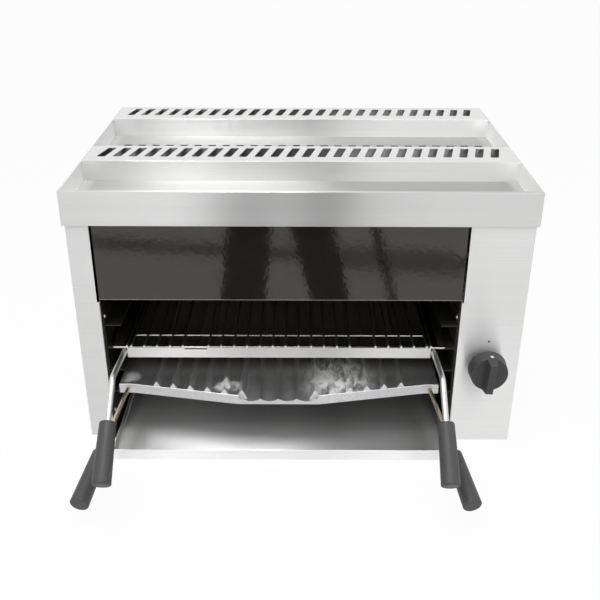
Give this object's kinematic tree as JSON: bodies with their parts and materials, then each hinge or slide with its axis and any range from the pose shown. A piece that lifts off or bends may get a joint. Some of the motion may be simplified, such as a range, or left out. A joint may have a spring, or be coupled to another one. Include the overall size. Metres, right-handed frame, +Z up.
{
  "type": "salamander grill",
  "caption": "Counter-top gas salamander grill: hooded steel case, overhead ceramic burner, open front with sliding wire rack, ridged brander plate and drip tray, and a push-and-turn gas knob.",
  "frame": {"origin": "on the underside of the base panel, straight below the middle of the hood", "axes": "+X to the right of someone facing the grill, +Y to the back, +Z up"},
  "size_m": [0.62, 0.6539, 0.3886],
  "materials": {
    "stainless": "brushed stainless sheet",
    "zinc_sheet": "zinc coated sheet",
    "chamber_steel": "heat darkened sheet",
    "enamel": "gloss black vitreous enamel",
    "burner_steel": "heat resisting sheet",
    "plaque": "porous burner ceramic",
    "gas_brass": "machined brass",
    "gas_pipe": "plated steel tube",
    "tap_steel": "turned steel",
    "fasteners": "plated steel",
    "knob": "matt phenolic",
    "grips": "matt phenolic",
    "rack_wire": "bright plated wire",
    "plate_rod": "yellow passivated steel",
    "cast_plate": "cast and heat dulled"
  },
  "bodies": {
    "case": {"base_panel": "zinc_sheet", "burner_box": "burner_steel", "burner_frame": "burner_steel", "burner_gauze": "burner_steel", "burner_pipe": "gas_pipe", "burner_plaques": "plaque", "burner_support_left": "zinc_sheet", "burner_support_right": "zinc_sheet", "chamber_back": "chamber_steel", "chamber_wall_left": "chamber_steel", "chamber_wall_right": "chamber_steel", "control_panel": "stainless", "enamel_front_panel": "enamel", "flue_baffle": "zinc_sheet", "flue_deck": "stainless", "gas_inlet": "gas_brass", "gas_tap": "gas_brass", "hood_screws": "fasteners", "hood_shell": "stainless", "injector": "gas_brass", "injector_bracket": "zinc_sheet", "inlet_locknut": "gas_brass", "left_side_panel": "stainless", "mixing_tube": "burner_steel", "rear_panel": "zinc_sheet", "rear_screws": "fasteners", "right_side_panel": "stainless", "runner_ladder_left": "chamber_steel", "runner_ladder_right": "chamber_steel", "runner_screws": "fasteners", "supply_pipe": "gas_pipe", "tap_bracket": "zinc_sheet", "tap_screws": "fasteners", "thermocouple": "gas_brass", "thermocouple_nut": "gas_brass", "tray_guide_left": "zinc_sheet", "tray_guide_right": "zinc_sheet"},
    "rack": {"rack_frame": "rack_wire", "rack_rods": "rack_wire", "rack_cross_wires": "rack_wire", "rack_stop_wire": "rack_wire", "rack_front_bar": "rack_wire", "rack_handle_left": "rack_wire", "rack_handle_right": "rack_wire", "rack_grip_left": "grips", "rack_grip_right": "grips"},
    "plate": {"brander_plate": "cast_plate", "plate_handle_left": "plate_rod", "plate_handle_right": "plate_rod", "plate_grip_left": "grips", "plate_grip_right": "grips"},
    "tray": {"drip_tray": "stainless"},
    "tap_stem": {"tap_plunger": "tap_steel"},
    "tap_knob": {"knob": "knob", "tap_spindle": "tap_steel"}
  },
  "joints": [
    {"name": "rack_slide", "type": "slide", "parent": "case", "child": "rack", "axis": [0, -1, 0], "range_m": [0, 0.2]},
    {"name": "plate_slide", "type": "slide", "parent": "case", "child": "plate", "axis": [0, -1, 0], "range_m": [0, 0.1]},
    {"name": "tray_slide", "type": "slide", "parent": "case", "child": "tray", "axis": [0, -1, 0], "range_m": [0, 0.25]},
    {"name": "knob_push", "type": "slide", "parent": "case", "child": "tap_stem", "axis": [0, 1, 0], "range_m": [0, 0.0035], "stiffness_N_per_m": 1500},
    {"name": "knob_turn", "type": "hinge", "parent": "tap_stem", "child": "tap_knob", "pos_m": [0.2607, -0.2095, 0.1345], "axis": [0, -1, 0], "range_deg": [0, 180]}
  ]
}
